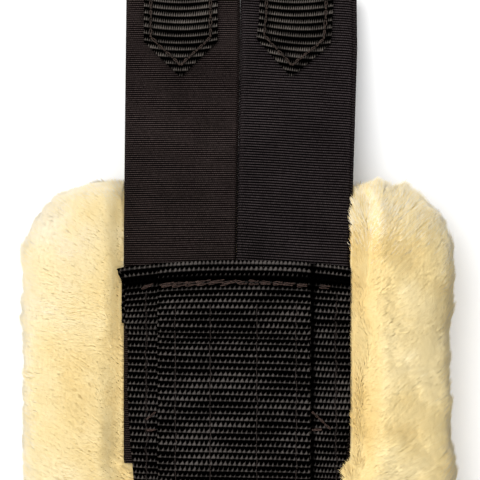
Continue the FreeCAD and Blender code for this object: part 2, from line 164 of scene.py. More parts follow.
def resample(path, spacing):
    """Points every spacing along a polyline, with the distance run at each one."""
    path = np.asarray(path, float)
    run = np.concatenate([[0], np.cumsum(np.linalg.norm(np.diff(path, axis=0), axis=1))])
    count = max(2, int(round(run[-1] / spacing)) + 1)
    at = np.linspace(0, run[-1], count)
    return np.stack([np.interp(at, run, path[:, k]) for k in range(path.shape[1])], axis=1), at


def rounded_path(corners, radius, steps):
    """A polyline in the XZ plane with each inner corner rounded."""
    corners = [np.array(corner, float) for corner in corners]
    points = [corners[0]]
    for before, here, after in zip(corners, corners[1:], corners[2:]):
        reach = min(radius, np.linalg.norm(here - before) / 2, np.linalg.norm(after - here) / 2)
        start = here + (before - here) / np.linalg.norm(before - here) * reach
        finish = here + (after - here) / np.linalg.norm(after - here) * reach
        for t in np.linspace(0, 1, steps):
            points.append((1 - t) ** 2 * start + 2 * t * (1 - t) * here + t * t * finish)
    points.append(corners[-1])
    return np.array(points)


def arc(centre, radius, start, finish, steps):
    angles = np.radians(np.linspace(start, finish, steps))
    return [np.array([centre[0] + radius * math.cos(a), centre[1] + radius * math.sin(a)]) for a in angles]


def whole_cells(inside):
    """The grid cells whose four corners are all inside."""
    return inside[:-1, :-1] & inside[1:, :-1] & inside[:-1, 1:] & inside[1:, 1:]


def block_between(name, top, bottom, keep, materials):
    """A closed solid between two grids of points, in the grid cells that keep marks, and which of the
    points it uses."""
    rows, columns = top.shape[:2]
    index = np.arange(rows * columns).reshape(rows, columns)
    cells = np.stack([index[:-1, :-1], index[1:, :-1], index[1:, 1:], index[:-1, 1:]], axis=-1)
    cells = cells[keep] if keep is not None else cells.reshape(-1, 4)
    edges = np.concatenate([cells[:, [k, (k + 1) % 4]] for k in range(4)])
    _, first, count = np.unique(np.sort(edges, axis=1), axis=0, return_index=True, return_counts=True)
    rim = edges[first[count == 1]]
    below = rows * columns
    walls = np.stack([rim[:, 1], rim[:, 0], rim[:, 0] + below, rim[:, 1] + below], axis=1)
    faces = np.concatenate([cells, cells[:, ::-1] + below, walls])
    used, faces = np.unique(faces, return_inverse=True)
    points = np.concatenate([top.reshape(-1, 3), bottom.reshape(-1, 3)])[used]
    return mesh_object(name, points, faces.reshape(-1, 4), materials), used


def thick_sheet(node, middle, normals, thickness, material, weave, keep=None, raised=0.0, dent=0.0):
    """A closed sheet round a grid of middle points. raised lifts both faces, dent lowers the one the normals
    point to, keep marks the cells with cloth, and weave is stored for the material."""
    across = np.linspace(-1, 1, middle.shape[1])
    edge = np.sqrt(np.clip(1 - np.abs(across) ** 24, 0.09, 1))
    half = (thickness / 2 + raised) * edge[None, :]
    top = middle + normals * (half - dent)[..., None]
    obj, used = block_between(node + "_cloth", top, middle - normals * half[..., None], keep, [material])
    both = np.concatenate([np.stack(weave, axis=-1).reshape(-1, 3)] * 2)[used]
    attribute = obj.data.attributes.new("weave", "FLOAT_VECTOR", "POINT")
    attribute.data.foreach_set("vector", both.astype(np.float32).ravel())
    return obj


# ---- materials

class Nodes:
    """A material's node tree, built one short call at a time."""

    def __init__(self, name):
        self.material = bpy.data.materials.new(name)
        self.material.use_nodes = True
        self.tree = self.material.node_tree
        self.shader = next(node for node in self.tree.nodes if node.type == "BSDF_PRINCIPLED")

    def add(self, kind, **settings):
        node = self.tree.nodes.new(kind)
        for key, value in settings.items():
            setattr(node, key, value)
        return node

    def feed(self, socket, value):
        if isinstance(value, bpy.types.NodeSocket):
            self.tree.links.new(value, socket)
        else:
            socket.default_value = value

    def math(self, operation, *values, clamp=False):
        node = self.add("ShaderNodeMath", operation=operation, use_clamp=clamp)
        for socket, value in zip(node.inputs, values):
            self.feed(socket, value)
        return node.outputs[0]

    def times(self, first, second, clamp=False):
        return self.math("MULTIPLY", first, second, clamp=clamp)

    def plus(self, first, second):
        return self.math("ADD", first, second)

    def minus(self, first, second, clamp=False):
        return self.math("SUBTRACT", first, second, clamp=clamp)

    def zigzag(self, value):
        """0 at each whole value and 1 halfway between."""
        return self.times(self.math("PINGPONG", value, 0.5), 2.0)

    def ribs(self, run, pitch):
        """Which rib a place is on, how far up it, and the rib's round height."""
        rib = self.math("DIVIDE", run, pitch)
        number = self.math("FLOOR", rib)
        up = self.minus(rib, number)
        return number, up, self.math("SINE", self.times(up, math.pi))

    def weave(self):
        """What thick_sheet stored: the distance along and across, and a third value."""
        split = self.add("ShaderNodeSeparateXYZ")
        self.feed(split.inputs[0], self.add("ShaderNodeAttribute", attribute_name="weave").outputs["Vector"])
        return split.outputs

    def wire(self, node, **inputs):
        for key, value in inputs.items():
            self.feed(node.inputs[key.replace("_", " ")], value)
        return node

    def noise(self, scale, detail, roughness, stretch=None):
        place = self.add("ShaderNodeTexCoord").outputs["Object"]
        if stretch is not None:
            place = self.wire(self.add("ShaderNodeMapping"), Scale=stretch, Vector=place).outputs[0]
        node = self.add("ShaderNodeTexNoise")
        return self.wire(node, Scale=scale, Detail=detail, Roughness=roughness, Vector=place).outputs["Fac"]

    def ramp(self, value, stops):
        node = self.add("ShaderNodeValToRGB")
        self.feed(node.inputs[0], value)
        elements = node.color_ramp.elements
        while len(elements) < len(stops):
            elements.new(0.5)
        for element, (place, colour) in zip(elements, stops):
            element.position = place
            element.color = (*colour, 1)
        return node.outputs[0]

    def range(self, value, from_low, from_high, to_low, to_high):
        node = self.add("ShaderNodeMapRange")
        for socket, number in zip(node.inputs, (value, from_low, from_high, to_low, to_high)):
            self.feed(socket, number)
        return node.outputs[0]

    def vary(self, noise, low, high):
        """The useful middle of a noise, spread from low to high."""
        return self.range(noise, 0.3, 0.7, low, high)

    def bump(self, height, distance, strength=1.0, normal=None):
        node = self.wire(self.add("ShaderNodeBump"), Distance=distance, Strength=strength, Height=height)
        if normal is not None:
            self.feed(node.inputs["Normal"], normal)
        return node.outputs[0]

    def set(self, **values):
        self.wire(self.shader, **values)
        return self.material


def dim(colour, share):
    return tuple(share * c for c in colour)


# How far the yarn crowns slant, in yarns over the height of one rib.
SLANT = 0.35


def webbing_material(name, pitch, grain, crown, depth=0.3 * MM):
    """Black plain weave: every rib is a row of pointed yarn crowns, set off by half from the next row,
    with hardly any light in the gaps. The crowns' lightness is a painted sheen, the black gaps are
    painted shade, and the weave's third value darkens the cloth further with painted shade."""
    n = Nodes(name)
    run, across, painted_shade = n.weave()
    number, up, crest = n.ribs(run, pitch)
    half_step = n.times(n.math("PINGPONG", number, 1.0), 0.5)
    yarn = n.plus(n.math("DIVIDE", across, grain), n.plus(half_step, n.times(up, SLANT)))
    yarn = n.plus(yarn, n.times(n.minus(n.noise(700, 1, 0.5), 0.5), 0.5))
    side = n.zigzag(yarn)
    crown_line = n.math("POWER", side, n.plus(n.times(up, 1.5), 0.35))
    height = n.times(n.math("POWER", crest, 0.7), n.range(crown_line, 0, 1, 0.4, 1.0))
    fibre = n.noise(2600, 2, 0.6)
    patch = n.noise(70, 3, 0.6)
    pulled = n.range(n.noise(75, 2, 0.5, stretch=(2.2, 0.6, 1)), 0.38, 0.62, -0.12, 0.24)
    narrowing = n.plus(n.range(up, 0.3, 0.95, 0.1, 0.95), pulled)
    point = n.range(n.minus(side, narrowing), -0.05, 0.45, 0, 1)
    line = n.range(up, 0.32, 0.46, 0.5, 0)
    lit = n.times(n.range(up, 0.12, 0.28, 0, 1), n.math("MAXIMUM", point, line))
    lit = n.times(lit, n.vary(patch, 0.75, 1.1))
    lit = n.times(lit, n.vary(fibre, 0.7, 1.2), clamp=True)
    # Painted shade: the weave's third value darkens grooves, seam dents and the overlay's edge.
    lit = n.times(lit, n.minus(1.0, painted_shade), clamp=True)
    # The crowns' lightness is a painted sheen and the black gaps are painted shade.
    colour = n.ramp(lit, [(0.0, (0, 0, 0)), (0.25, dim(crown, 0.06)), (0.65, dim(crown, 0.5)), (0.95, crown)])
    bump = n.bump(height, depth, 0.9)
    bump = n.bump(fibre, 0.03 * MM, 0.5, bump)
    return n.set(Base_Color=colour, Roughness=n.vary(fibre, 0.48, 0.66), Normal=bump, Specular_IOR_Level=0.0)


def elastic_material(name, pitch, tint):
    """Fine cross-ribbed elastic: crowns lightened as a painted satin sheen between grooves painted dark as
    shade, and a twill at each edge, lightened as a painted highlight where the selvedge catches the light.
    """
    n = Nodes(name)
    run, across, edge = n.weave()
    number, _, crest = n.ribs(run, pitch)
    yarn = n.zigzag(n.plus(n.math("DIVIDE", across, 0.62 * MM), n.times(number, 0.37)))
    patch = n.noise(45, 3, 0.6)
    speck = n.noise(2200, 2, 0.7)
    lit = n.times(n.math("POWER", crest, 3.0), n.range(yarn, 0, 1, 0.6, 1.0))
    diagonal = n.plus(n.math("DIVIDE", run, 0.9 * MM), n.math("DIVIDE", across, 0.6 * MM))
    twill = n.plus(n.math("PINGPONG", diagonal, 0.5), 0.7)
    # Painted highlight: the selvedge's twill is lightened where the rolled edge catches the light.
    lit = n.plus(n.times(lit, n.minus(1.0, edge)), n.times(edge, twill))
    lit = n.times(lit, n.vary(patch, 0.8, 1.1))
    lit = n.times(lit, n.vary(speck, 0.6, 1.25), clamp=True)
    # The crowns' lightness is a painted sheen and the black grooves are painted shade.
    colour = n.ramp(lit, [(0.0, (0, 0, 0)), (0.35, dim(tint, 0.15)), (0.95, tint)])
    bump = n.bump(crest, 0.12 * MM, 0.9)
    bump = n.bump(speck, 0.04 * MM, 0.6, bump)
    return n.set(Base_Color=colour, Roughness=n.vary(speck, 0.5, 0.7), Normal=bump, Specular_IOR_Level=0.0)


def thread_material(name, colour):
    n = Nodes(name)
    ply = n.noise(1500, 2, 0.5, stretch=(1, 1, 3))
    fleck = n.noise(300, 2, 0.5)
    mixed = n.ramp(n.times(ply, n.vary(fleck, 0.8, 1.2)), [(0.3, dim(colour, 0.25)), (0.7, colour)])
    return n.set(Base_Color=mixed, Roughness=n.vary(ply, 0.4, 0.65), Normal=n.bump(ply, 0.05 * MM, 0.6),
                 Specular_IOR_Level=0.1)


def wool_body_material():
    """The depth of the fleece seen between the locks."""
    n = Nodes("wool_depth")
    patch = n.noise(28, 3, 0.6)
    streak = n.noise(260, 3, 0.65, stretch=(0.35, 1, 1))
    mixed = n.plus(n.times(patch, 0.6), n.times(streak, 0.4))
    colour = n.ramp(mixed, [(0.3, (0.90, 0.68, 0.30)), (0.5, (0.93, 0.75, 0.40)), (0.7, (0.96, 0.82, 0.50))])
    bump = n.bump(streak, 0.8 * MM, 0.8)
    return n.set(Base_Color=colour, Roughness=0.9, Normal=bump, Specular_IOR_Level=0.1,
                 Sheen_Weight=0.4, Sheen_Roughness=0.5)


# The wool's yellow from the deepest to the palest: random cloudy tones, the deeper ones also used as
# painted shade. Then two tints for the pad's rim: a pale greyer cream, painted light and shade round the
# silhouette, and a darker one along the rear flank, painted shade.
WOOL_TINTS = [(0.79, 0.58, 0.24), (0.86, 0.655, 0.30), (0.90, 0.715, 0.355), (0.93, 0.765, 0.42),
              (0.95, 0.81, 0.50), (0.95, 0.83, 0.60)]
RIM_TINTS = [(0.90, 0.81, 0.62), (0.74, 0.615, 0.40)]


def wool_strand_materials():
    """One plain finish for each tint."""
    made = []
    for number, tint in enumerate(WOOL_TINTS + RIM_TINTS):
        n = Nodes(f"wool_{number}")
        made.append(n.set(Base_Color=(*tint, 1), Roughness=0.8, Specular_IOR_Level=0.1,
                          Sheen_Weight=0.12, Sheen_Roughness=0.5))
    return made


def steel_material():
    n = Nodes("steel_wire")
    streak = n.noise(900, 3, 0.6, stretch=(0.2, 1, 1))
    smudge = n.noise(80, 3, 0.6)
    rough = n.plus(n.vary(smudge, 0.12, 0.26), n.vary(streak, 0.0, 0.08))
    colour = n.ramp(smudge, [(0.3, (0.38, 0.375, 0.365)), (0.7, (0.50, 0.495, 0.48))])
    return n.set(Base_Color=colour, Metallic=1.0, Roughness=rough, Normal=n.bump(streak, 0.02 * MM, 0.3))


def hide_material():
    n = Nodes("hide_flesh_side")
    grain = n.noise(420, 4, 0.6)
    patch = n.noise(40, 2, 0.5)
    colour = n.ramp(patch, [(0.3, (0.62, 0.49, 0.30)), (0.7, (0.74, 0.62, 0.42))])
    return n.set(Base_Color=colour, Roughness=n.vary(grain, 0.6, 0.85), Normal=n.bump(grain, 0.2 * MM))


def felt_material():
    n = Nodes("felt")
    fibre = n.noise(900, 4, 0.7)
    colour = n.ramp(fibre, [(0.3, (0.30, 0.29, 0.27)), (0.7, (0.48, 0.47, 0.44))])
    return n.set(Base_Color=colour, Roughness=0.95, Normal=n.bump(fibre, 0.3 * MM))


# ---- webbing body

# The weaves: the distance from rib to rib, and the width of a yarn crown.
RIB = 2.12 * MM
OVERLAY_GRAIN = 1.58 * MM
BASE_GRAIN = 1.36 * MM
ON_ELASTIC = PLY_SEAM + PLY
# The base webbing's width and edges at its ends, and how far they are drawn in towards the middle.
BASE_WIDTH = 75 * MM
BASE_FRONT, FRONT_DRAWN_IN = 36.9 * MM, 2.4 * MM
BASE_REAR, REAR_DRAWN_IN = -37.2 * MM, 1.8 * MM
TAIL_OUT = 1.2 * MM
CORNER_OUT = 2.0 * MM
# How far the corners of the webbing's ends lie behind their middle, and over what run.
BOW = 2.3 * MM
BOW_RUN = 26 * MM


def sheet_along(path, width, shift_y, spacing, columns):
    """A strap whose middle line is a path in the XZ plane, as a grid: its middle points, normals, distance
    along and distance across."""
    line, run = resample(path, spacing)
    tangent = unit(np.gradient(line, axis=0))
    run, across = np.meshgrid(run, np.linspace(-width / 2, width / 2, columns), indexing="ij")
    flat = np.zeros_like(run)
    middle = np.stack([line[:, :1] + flat, shift_y + across, line[:, 1:] + flat], axis=-1)
    normals = np.stack([flat - tangent[:, 1:], flat, flat + tangent[:, :1]], axis=-1)
    return middle, normals, run, across


def folded_webbing_path(levels, end_x, fold_z):
    """Middle line of a webbing from one folded tail over the top to the other. levels are the corners of
    its top run for +X, from the middle outwards."""
    nose = end_x - WEB
    right = [np.array(level) for level in levels] + [np.array([nose - 1 * MM, fold_z + WEB])]
    right += arc((nose, fold_z + WEB / 2), WEB / 2, 90, -90, 9) + [np.array([end_x - FOLD, fold_z])]
    left = [np.array([-x, z]) for x, z in right]
    return np.array(left[::-1] + right)


def plain_weave(run, across, pitch, grain):
    """Height from 0 to 1 of ribs made of pointed yarn crowns, each row set off by half from the next."""
    number = np.floor(run / pitch)
    up = run / pitch - number
    yarn = across / grain + 0.5 * (number % 2) + SLANT * up
    crown = 1 - np.abs(2 * (yarn - np.floor(yarn)) - 1)
    return np.sin(math.pi * up) ** 0.7 * (0.45 + 0.55 * crown ** (0.35 + 1.5 * up))


BASE_LEVELS = [(ANCHOR_X - STEP, HIDE_TOP), (ANCHOR_X, ON_ELASTIC),
               (MOUTH_X - FOLD - 4 * MM, ON_ELASTIC), (MOUTH_X - FOLD, ON_ELASTIC + WEB)]
OVERLAY_LEVELS = [(ANCHOR_X - STEP, HIDE_TOP + WEB), (ANCHOR_X, ON_ELASTIC + WEB),
                  (OVERLAY_X - FOLD - STEP, ON_ELASTIC + WEB), (OVERLAY_X - FOLD, ON_ELASTIC + 3 * WEB)]
# The stitches across the mouth, and the groove in front of them that sets off the fold.
SEAM_X = OVERLAY_X - 5.9 * MM
GROOVE_X = OVERLAY_X - 3.9 * MM


def webbing_top(levels, x):
    """Height of the top face of a webbing that runs over the given underside levels."""
    spots = np.array(levels)
    return np.interp(np.abs(x), spots[:, 0], spots[:, 1]) + WEB


def seam_dent(x):
    """How far the cross seam draws the cloth down, at x of either end."""
    away = np.abs(x)
    return 0.8 * MM * bell(away - GROOVE_X, 0.45 * MM) + 0.45 * MM * bell(away - SEAM_X, 1.5 * MM)


def make_webbing(node, levels, end_x, fold_z, grain, columns, material, place_across, set_back):
    """A webbing with its ends folded under. place_across gives each point's Y, and set_back is how far
    inside the CAD its ends lie."""
    box_low, box_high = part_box(node)
    width = box_high[1] - box_low[1]
    centre = (box_high[1] + box_low[1]) / 2
    middle_levels = [(x, z + WEB / 2) for x, z in levels]
    path = rounded_path(folded_webbing_path(middle_levels, end_x, fold_z + WEB / 2), 1.2 * MM, 3)
    middle, normals, run, across = sheet_along(path, width, centre, RIB / 5, columns)
    bow = BOW * np.abs((across + centre) / (BASE_WIDTH / 2)) ** 2.5 + set_back
    near_end = smooth_step(np.abs(middle[..., 0]), end_x - BOW_RUN, end_x)
    middle[..., 0] -= np.sign(middle[..., 0]) * bow * near_end
    middle[..., 1] = place_across(middle[..., 0], across, normals[..., 2] < 0.3, centre)

    # The ribs are counted from the groove, and lie less straight away from it.
    half = len(run) // 2
    level = run - np.interp(GROOVE_X + 0.5 * MM, middle[half:, columns // 2, 0], run[half:, 0])
    away = fade(middle[..., 0], GROOVE_X - 30 * MM, GROOVE_X)
    wave = lattice_noise(np.stack([across, run * 0.2, 0 * run], axis=-1), 16 * MM, 7)
    tilt = level - across * 0.03 * away + 0.3 * MM * wave * away
    tight = smooth_step(np.abs(middle[..., 0]), end_x - 3.5 * MM, end_x - 2 * MM)
    height = plain_weave(tilt, across, RIB, grain)

    bowed = np.abs(middle[..., 0]) + bow * near_end
    dent = seam_dent(bowed) * (normals[..., 2] > 0.7)
    # Painted shade: the cloth is darkened in the groove before the fold and, less, along the cross seam's
    # dent.
    groove_shade = bell(bowed - GROOVE_X, 1.15 * MM, 6) + 0.5 * bell(bowed - SEAM_X, 1.6 * MM, 4)
    if node == "base_webbing":
        # A dent beside the overlay's rear edge, darkened there with painted shade.
        trench = bell(middle[..., 1] - OVERLAY_REAR + 0.8 * MM, 0.8 * MM)
        dent = dent + 0.3 * MM * trench
        groove_shade = groove_shade + trench
    raised = (height - 0.6) * 0.55 * MM * (1 - 0.3 * tight)
    piece = thick_sheet(node, middle, normals, WEB - 0.3 * MM, material,
                        (tilt, across, np.clip(groove_shade, 0, 0.97)), raised=raised, dent=dent)
    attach(piece, "root")
    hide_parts(node)


def base_across(x, across, tail, centre):
    """The base webbing narrows away from its ends, and the near end's tail sticks out to the front."""
    away = np.abs(x)
    share = across / BASE_WIDTH + 0.5
    front = BASE_FRONT - FRONT_DRAWN_IN * fade(away, 128 * MM, 172 * MM)
    front = front + 0.7 * MM * smooth_step(away, 188 * MM, 192 * MM) + np.where(tail & (x > 0), TAIL_OUT, 0)
    at_mouth = smooth_step(away, MOUTH_X - 7 * MM, MOUTH_X - 2 * MM)
    front = front + CORNER_OUT * at_mouth * smooth_step(share, 0.85, 1)
    rear = BASE_REAR + REAR_DRAWN_IN * fade(away, 140 * MM, 165 * MM) * fade(share, 0, 0.3)
    ragged = 0.14 * MM * lattice_noise(along_only(x), 3 * MM, 19)
    return rear + (front - rear) * share + ragged * np.abs(2 * share - 1) ** 4


def overlay_across(x, across, tail, centre):
    """The overlay's edges are straight but for their yarns."""
    ragged = 0.2 * MM * lattice_noise(along_only(x), 3 * MM, 23)
    return centre + across + ragged * np.abs(across / (25.3 * MM)) ** 4


def make_webbing_body():
    crown = (0.080, 0.071, 0.066)
    make_webbing("base_webbing", BASE_LEVELS, MOUTH_X, ON_ELASTIC, BASE_GRAIN, 112,
                 webbing_material("webbing_75", RIB, BASE_GRAIN, crown), base_across, -0.7 * MM)
    make_webbing("overlay_webbing", OVERLAY_LEVELS, OVERLAY_X, ON_ELASTIC + 2 * WEB, OVERLAY_GRAIN, 129,
                 webbing_material("webbing_50", RIB, OVERLAY_GRAIN, crown), overlay_across, 0.5 * MM)


# ---- elastics

# How far short of the heel bar the plies end, and the run over which their edges shift.
SHORT_OF_BAR = 16 * MM
EDGES_RUN = 72 * MM
# Where the inner and outer edges of a strap's plies lie, first at the mouth and then at the chape.
STRAP_EDGES = {
    (1, "face"): ((1.3 * MM, 0.3 * MM), (38.2 * MM, 38.2 * MM)),
    (1, "backing"): ((0.75 * MM, -0.55 * MM), (38.2 * MM, 38.2 * MM)),
    (-1, "face"): ((-0.5 * MM, 1.2 * MM), (36.5 * MM, 38.5 * MM)),
    (-1, "backing"): ((-0.7 * MM, 0.6 * MM), (37.3 * MM, 40.3 * MM)),
}


def make_elastic(strap, sx, sy, layer, material, pitch):
    """One ply of a strap, made for the near end and turned round for the far one."""
    node = f"{strap}_elastic_{layer}"
    face = layer == "face"
    run_x = BAR[0] - BEND_X - SHORT_OF_BAR * math.cos(STRAP_SLOPE)
    corners = [(ANCHOR_X, PLY_SEAM), (BEND_X, PLY_SEAM),
               (BEND_X + run_x, PLY_SEAM - run_x * math.tan(STRAP_SLOPE))]
    path = rounded_path(corners, 16 * MM, 12)
    middle, normals, run, across = sheet_along(path, ELASTIC_WIDTH, 0, pitch / 4 if face else 1.2 * MM, 49)
    middle = middle + normals * (PLY / 2 if face else -PLY / 2)
    side = sy * sx
    out = np.clip((middle[..., 0] - MOUTH_X) / EDGES_RUN, 0, 1)
    inner, outer = (at_mouth + (at_chape - at_mouth) * out for at_mouth, at_chape in STRAP_EDGES[(sy, layer)])
    share = 0.5 + across * side / ELASTIC_WIDTH
    middle[..., 1] = side * (inner + (outer - inner) * share)
    skew = run + across * (-0.055 if sy < 0 else 0.012)
    skew += 0.12 * MM * lattice_noise(middle, 12 * MM, 31)
    share = np.abs(across) / (ELASTIC_WIDTH / 2)
    # Each edge's selvedge: a small raised ridge, lightened in the material as a painted highlight.
    selvedge = bell(share - 0.978, 0.012)
    ribs = 0.0
    if face:
        ribs = (np.abs(np.sin(math.pi * skew / pitch)) ** 0.8 - 0.5) * 0.22 * MM * fade(share, 0.93, 0.95)
    if sx < 0:
        middle[..., :2] *= -1
        normals = normals * np.array([-1, 1, 1])
    piece = thick_sheet(node, middle, normals, PLY - 0.14 * MM, material, (skew, across, selvedge),
                        raised=ribs + selvedge * 0.08 * MM)
    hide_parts(node)
    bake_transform(piece)


# ---- chapes

# How far the tip of a chape is sewn off its strap's middle line, by end and side.
CHAPE_LEAN = {(1, -1): 1.8 * MM, (-1, 1): -1.8 * MM}
CHAPE_RIB = 2.38 * MM
CHAPE_GRAIN = 0.75 * MM
CHAPE_THICK = 1.8 * MM
CHAPE_FLAT = PLY + 0.2 * MM + CHAPE_THICK / 2
STITCH_INSET = 2.4 * MM


def sloped(ways):
    """Turn a level strap end's points or directions to its slope."""
    c, s = math.cos(STRAP_SLOPE), math.sin(STRAP_SLOPE)
    return np.stack([ways[..., 0] * c + ways[..., 2] * s, ways[..., 1],
                     ways[..., 2] * c - ways[..., 0] * s], axis=-1)


def from_bar(points, sx, sy):
    """Put points measured from a heel bar, with the tails along -X, into the frame."""
    placed = sloped(points) + np.array([BAR[0], 0, BAR[2]])
    return placed * np.array([sx, 1, 1]) + np.array([0, sy * BAR[1], 0])


def leaned(points, from_tip, sx, sy):
    """Move points of a chape, from_tip from its tip, to where it is sewn."""
    lean = CHAPE_LEAN.get((sx, sy), 0) * fade(from_tip, 0, 26 * MM)
    return points + np.stack([lean * points[..., 1] * 0.07 / MM, lean, 0 * lean], axis=-1)


def make_chape(strap, sx, sy, material):
    """Webbing folded round the heel bar, with a slot for the tongue and pointed tails."""
    node = f"{strap}_chape"
    half_width = CHAPE_WIDTH / 2
    loop = 2.5 * MM + CHAPE_THICK / 2
    neck = 8 * MM
    corners = [(-CHAPE_LENGTH, CHAPE_FLAT), (-neck, CHAPE_FLAT)] + arc((0, 0), loop, 80, -80, 15)
    corners += [(-neck, -CHAPE_FLAT), (-CHAPE_LENGTH, -CHAPE_FLAT)]
    path = rounded_path(corners, 3 * MM, 4)
    middle, normals, run, across = sheet_along(path, CHAPE_WIDTH, 0, CHAPE_RIB / 8, 61)
    from_tip = np.minimum(run, run.max() - run)
    blunt_tip = from_tip + 0.5 * MM
    middle[..., 1] = across / half_width * np.clip(blunt_tip / (12.5 * MM), 0, 1) * CHAPE_WIDTH / 2
    middle = leaned(middle, from_tip, sx, sy)
    spread = middle[..., 1]
    hole = whole_cells((middle[..., 0] > -14.5 * MM) & (np.abs(spread) < 3.5 * MM))
    sagging = run + (1 - (spread / half_width) ** 2) * 1.3 * MM * np.where(run > run.max() / 2, -1, 1)
    height = plain_weave(sagging, spread, CHAPE_RIB, CHAPE_GRAIN)
    seam_away = np.minimum(half_width - np.abs(spread), (blunt_tip - np.abs(spread) * 1.04) * 0.7)
    drawn = bell(seam_away - STITCH_INSET, 0.9 * MM) * (middle[..., 0] < -15 * MM)
    # The stitch line's dent is also darkened with painted shade, through the weave's third value.
    piece = thick_sheet(node, from_bar(middle, sx, sy), sloped(normals) * np.array([sx, 1, 1]),
                        CHAPE_THICK - 0.4 * MM, material, (sagging, spread, drawn * 0.5), keep=~hole,
                        raised=(height - 0.6) * 0.85 * MM - drawn * 0.35 * MM)
    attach(piece, f"{strap}_strap_end")
    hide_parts(node)


# ---- wool

# The pad's corners in plan, its rounded edges, and the width over which the rolls rise from the straps.
PAD_CORNER = 31 * MM
TOP_ROUND = 15 * MM
BOTTOM_ROUND = 10 * MM
CREST = 6 * MM
# The pile that grows out of the soft body, and how far it laps over the straps on the rear side.
PILE = 2.6 * MM
LAP = 2.2 * MM
# Half the channel's width under the webbing, and how much wider it is where the elastics lie.
CHANNEL_HALF = 35.6 * MM
CHANNEL_WIDER = 2.9 * MM
# Fibres to the square millimetre and layer: on the photographed end, along the rest, and underneath.
NEAR_X = 128 * MM
UNDER_Z = 6 * MM
NEAR_LAYERS, NEAR_DENSITY = 8, 1.2
ALONG_LAYERS, ALONG_DENSITY = 4, 0.35
UNDER_DENSITY = 0.3
# How much of its light a fibre takes from the surface it grows on.
SHARED_LIGHT = 0.9
# How far every fibre leans the way it is combed.
LEAN = 0.45


def inside_outline(x, y):
    """How far inside the pad's outline a point of the plan lies."""
    qx = np.abs(x) - (PAD_X - PAD_CORNER)
    qy = np.abs(y) - (PAD_Y - PAD_CORNER)
    outside = np.hypot(np.maximum(qx, 0), np.maximum(qy, 0)) + np.minimum(np.maximum(qx, qy), 0)
    return PAD_CORNER - outside


def channel_floor(x):
    return HIDE_TOP - np.maximum(np.abs(x) - (BEND_X - BEND_RUN), 0) * math.tan(STRAP_SLOPE)


def channel_half(x):
    """Half the width of what lies in the channel."""
    return CHANNEL_HALF + CHANNEL_WIDER * smooth_step(np.abs(x), ANCHOR_X - 3 * MM, ANCHOR_X)


def beside_straps(points):
    """How far to the side of the channel each point lies."""
    return np.abs(points[:, 1]) - channel_half(points[:, 0])


def rear_of(points):
    """From 0 on the front roll to 1 on the rear roll."""
    return smooth_step(-points[:, 1], -10 * MM, 10 * MM)


def pad_top(x, y):
    """Height of the pile: a dome on each side that falls softly to the webbing."""
    floor = channel_floor(x)
    crest = CREST + 3.5 * MM * lattice_noise(np.stack([x, y, 0 * x], axis=-1), 17 * MM, 51)
    rise = smooth_step(np.abs(y), channel_half(x) - 1 * MM, channel_half(x) + crest)
    height = floor + (PAD_TOP - floor) * rise ** 0.6
    depth = np.clip(inside_outline(x, y), 0, TOP_ROUND)
    return height - TOP_ROUND + np.sqrt(np.maximum(TOP_ROUND ** 2 - (TOP_ROUND - depth) ** 2, 0))


def pad_bottom(x, y):
    depth = np.clip(inside_outline(x, y), 0, BOTTOM_ROUND)
    return BOTTOM_ROUND - np.sqrt(np.maximum(BOTTOM_ROUND ** 2 - (BOTTOM_ROUND - depth) ** 2, 0))


def read_mesh(obj):
    """A mesh's points, point normals and triangles."""
    def fetch(items, field, kind):
        values = np.zeros(len(items) * 3, kind)
        items.foreach_get(field, values)
        return values.reshape(-1, 3)

    mesh = obj.data
    mesh.calc_loop_triangles()
    return (fetch(mesh.vertices, "co", np.float32).astype(float),
            fetch(mesh.vertex_normals, "vector", np.float32).astype(float),
            fetch(mesh.loop_triangles, "vertices", np.int32))


def closed_pad(name):
    """The pad's surface as one even closed mesh."""
    cell = 2 * MM
    x = np.arange(-PAD_X, PAD_X + cell, cell)
    y = np.arange(-PAD_Y, PAD_Y + cell, cell)
    x, y = np.meshgrid(x, y, indexing="ij")
    keep = whole_cells(inside_outline(x, y) > 0.1 * MM)
    middle = np.stack([x, y, (pad_top(x, y) + pad_bottom(x, y)) / 2], axis=-1)
    half = (pad_top(x, y) - pad_bottom(x, y)) / 2
    rise = np.stack([0 * half, 0 * half, half], axis=-1)
    obj, _ = block_between(name, middle + rise, middle - rise, keep, [])
    remesh = obj.modifiers.new("even", "REMESH")
    remesh.mode = "VOXEL"
    remesh.voxel_size = 2.5 * MM
    remesh.use_smooth_shade = True
    relax = obj.modifiers.new("relax", "SMOOTH")
    relax.factor = 0.5
    relax.iterations = 4
    shape = bpy.data.meshes.new_from_object(obj.evaluated_get(bpy.context.evaluated_depsgraph_get()))
    obj.modifiers.clear()
    obj.data = shape
    return obj


def under_straps(points):
    """From 0 to 1, how far a point lies under the webbing or the straps."""
    inside = np.abs(points[:, 1]) < channel_half(points[:, 0]) - 0.5 * MM
    return inside * (points[:, 2] > 12 * MM) * (np.abs(points[:, 0]) < PAD_X - 8 * MM)


def rim_of(points):
    """From 0 inside to 1 round the edge of the pad's outline."""
    return fade(inside_outline(points[:, 0], points[:, 1]), 2 * MM, 9 * MM)


def make_wool_body(material):
    body = closed_pad("wool_depth")
    points, normals, _ = read_mesh(body)
    covered = under_straps(points)
    uneven = 1 - 0.65 * rim_of(points) * (points[:, 1] > 0)
    lumps = 1.6 * MM * lattice_noise(points, 30 * MM, 11) + 1.0 * MM * lattice_noise(points, 12 * MM, 12)
    sink = covered * 1.2 * MM + (1 - covered) * (PILE - uneven * lumps)
    moved = points - normals * sink[:, None]
    moved[:, 2] = np.maximum(moved[:, 2], 0.8 * MM)
    body.data.vertices.foreach_set("co", moved.astype(np.float32).ravel())
    body.data.materials.append(material)
    body.data.update()
    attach(body, "root")
    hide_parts("wool_pile")
    return body


